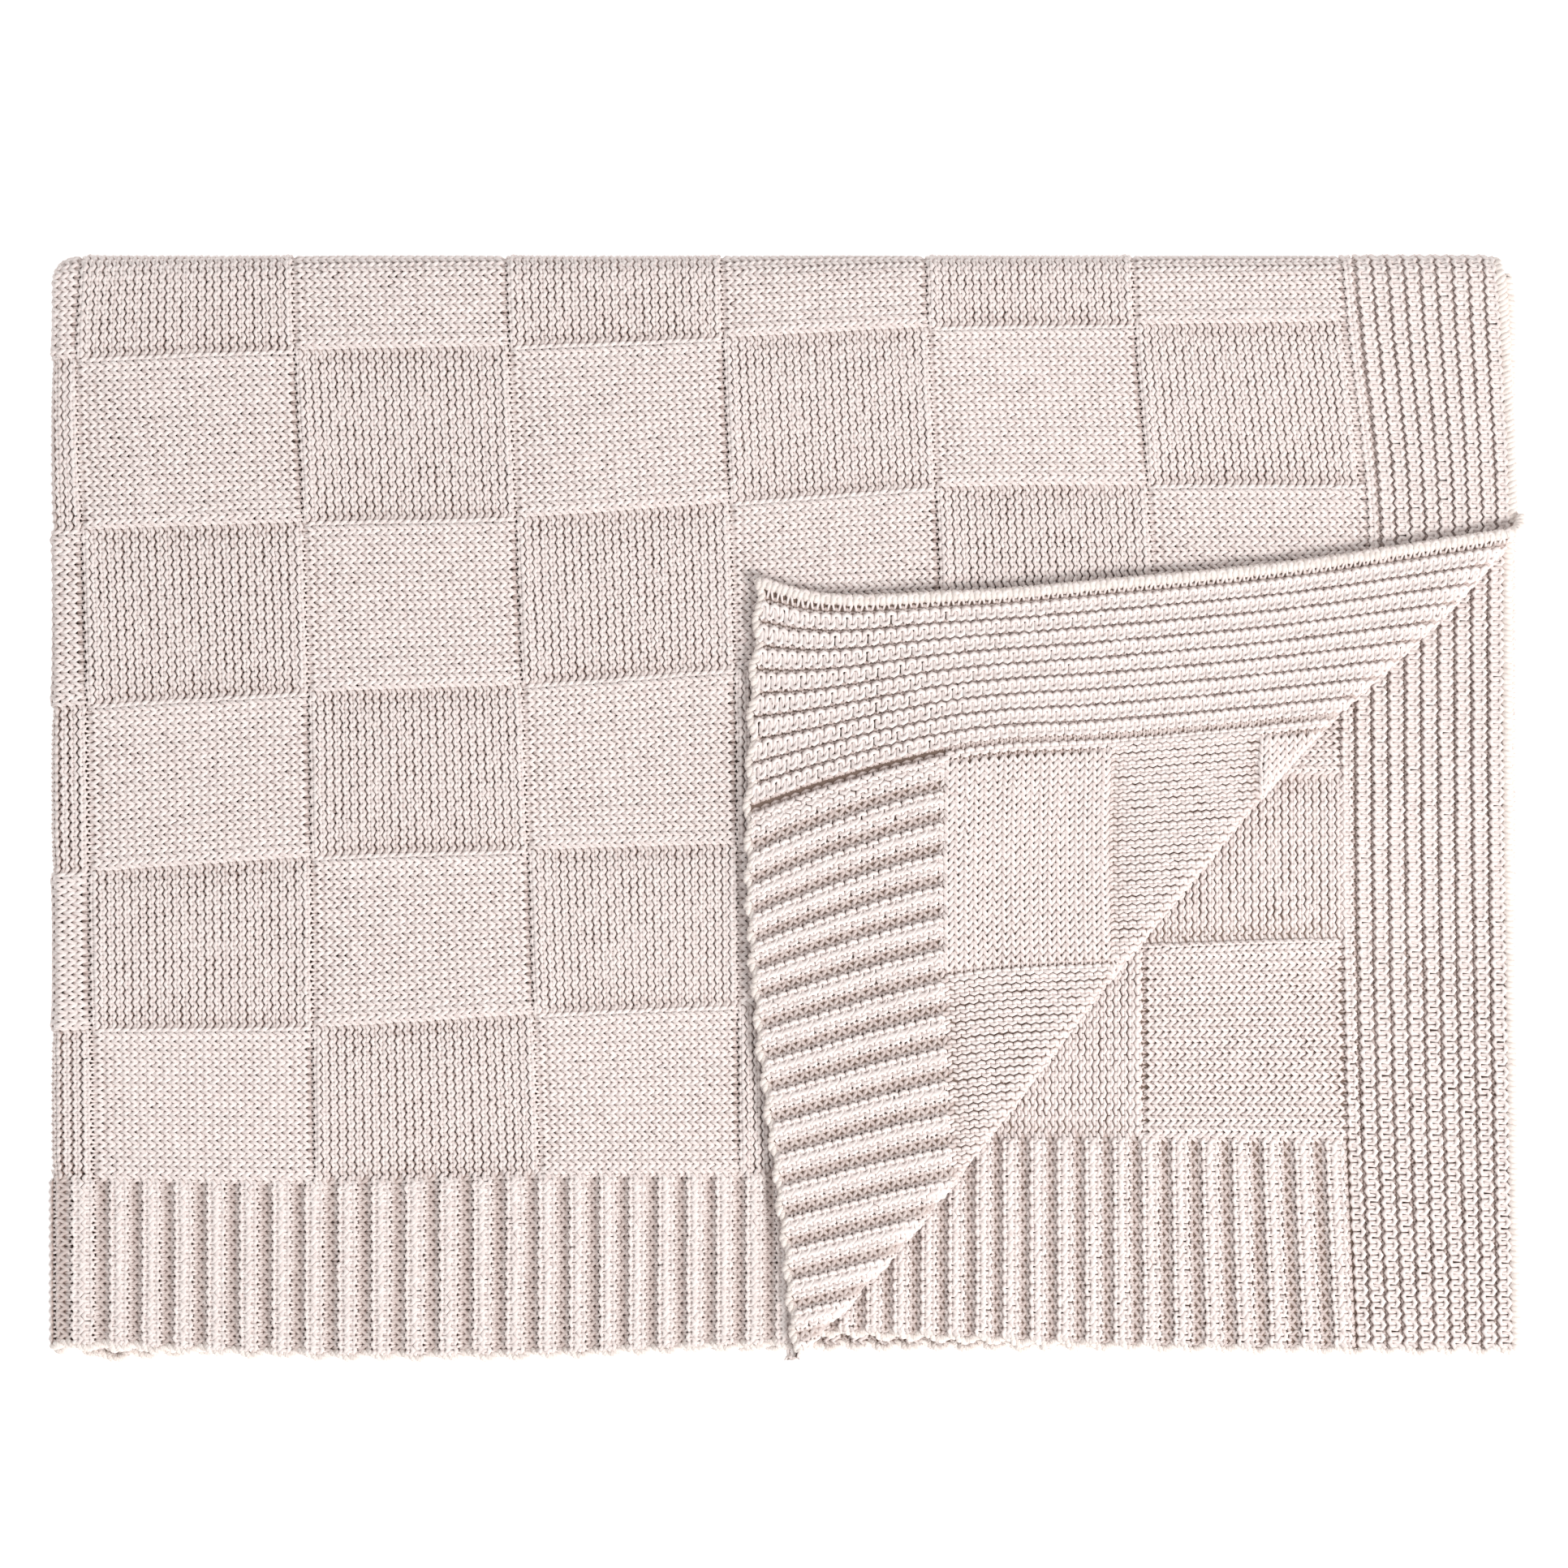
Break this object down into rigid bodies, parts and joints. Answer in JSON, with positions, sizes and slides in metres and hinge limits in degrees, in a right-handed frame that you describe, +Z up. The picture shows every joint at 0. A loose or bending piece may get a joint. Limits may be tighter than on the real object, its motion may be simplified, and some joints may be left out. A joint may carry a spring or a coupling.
{
  "type": "folded throw blanket",
  "caption": "Small knitted cotton throw folded in quarters, with block-pattern field, ribbed and garter borders, and one top corner turned back.",
  "frame": {"origin": "bottom centre of the folded throw's bounding box", "axes": "+X along the longer side, from the left fold towards the whipped free edges; +Y towards the thick top fold; +Z up, through the plies"},
  "size_m": [0.508, 0.381, 0.0222],
  "materials": {
    "checker_knit": "heathered two-ply cotton knit, matt",
    "welt_knit": "heathered two-ply cotton knit, matt",
    "garter_knit": "heathered two-ply cotton knit, matt",
    "whipping_yarn": "soft whipped cotton yarn, matt",
    "selvedge_yarn": "chained cotton yarn, matt"
  },
  "bodies": {
    "bottom_pair": {"bottom_ply_field": "checker_knit", "bottom_ply_welt_border": "welt_knit", "bottom_ply_garter_border": "garter_knit", "bottom_ply_whipped_edge": "whipping_yarn", "bottom_ply_selvedge": "selvedge_yarn", "second_ply_field": "checker_knit", "second_ply_welt_border": "welt_knit", "second_ply_garter_border": "garter_knit", "second_ply_whipped_edge": "whipping_yarn", "second_ply_selvedge": "selvedge_yarn", "lower_left_fold": "checker_knit", "inner_top_fold": "checker_knit", "outer_top_fold": "checker_knit"},
    "top_pair": {"third_ply_field": "checker_knit", "third_ply_welt_border": "welt_knit", "third_ply_garter_border": "garter_knit", "third_ply_whipped_edge": "whipping_yarn", "third_ply_selvedge": "selvedge_yarn", "top_ply_field": "checker_knit", "top_ply_welt_border": "welt_knit", "top_ply_garter_border": "garter_knit", "top_ply_whipped_edge": "whipping_yarn", "top_ply_selvedge": "selvedge_yarn", "upper_left_fold": "checker_knit", "corner_crease": "checker_knit"},
    "turned_corner": {"turned_corner_field": "checker_knit", "turned_corner_welt_border": "welt_knit", "turned_corner_garter_border": "garter_knit", "turned_corner_whipped_edge": "whipping_yarn", "turned_corner_selvedge": "selvedge_yarn"}
  },
  "joints": [
    {"name": "top_fold", "type": "hinge", "parent": "bottom_pair", "child": "top_pair", "pos_m": [0, 0.18165, 0.00885], "axis": [-1, 0, 0], "range_deg": [0, 177], "deforming": ["inner_top_fold", "outer_top_fold"]},
    {"name": "corner_fold", "type": "hinge", "parent": "top_pair", "child": "turned_corner", "pos_m": [0.008, -0.184, 0.01785], "axis": [0.656, 0.7548, 0], "range_deg": [0, 180], "deforming": ["corner_crease"]}
  ]
}
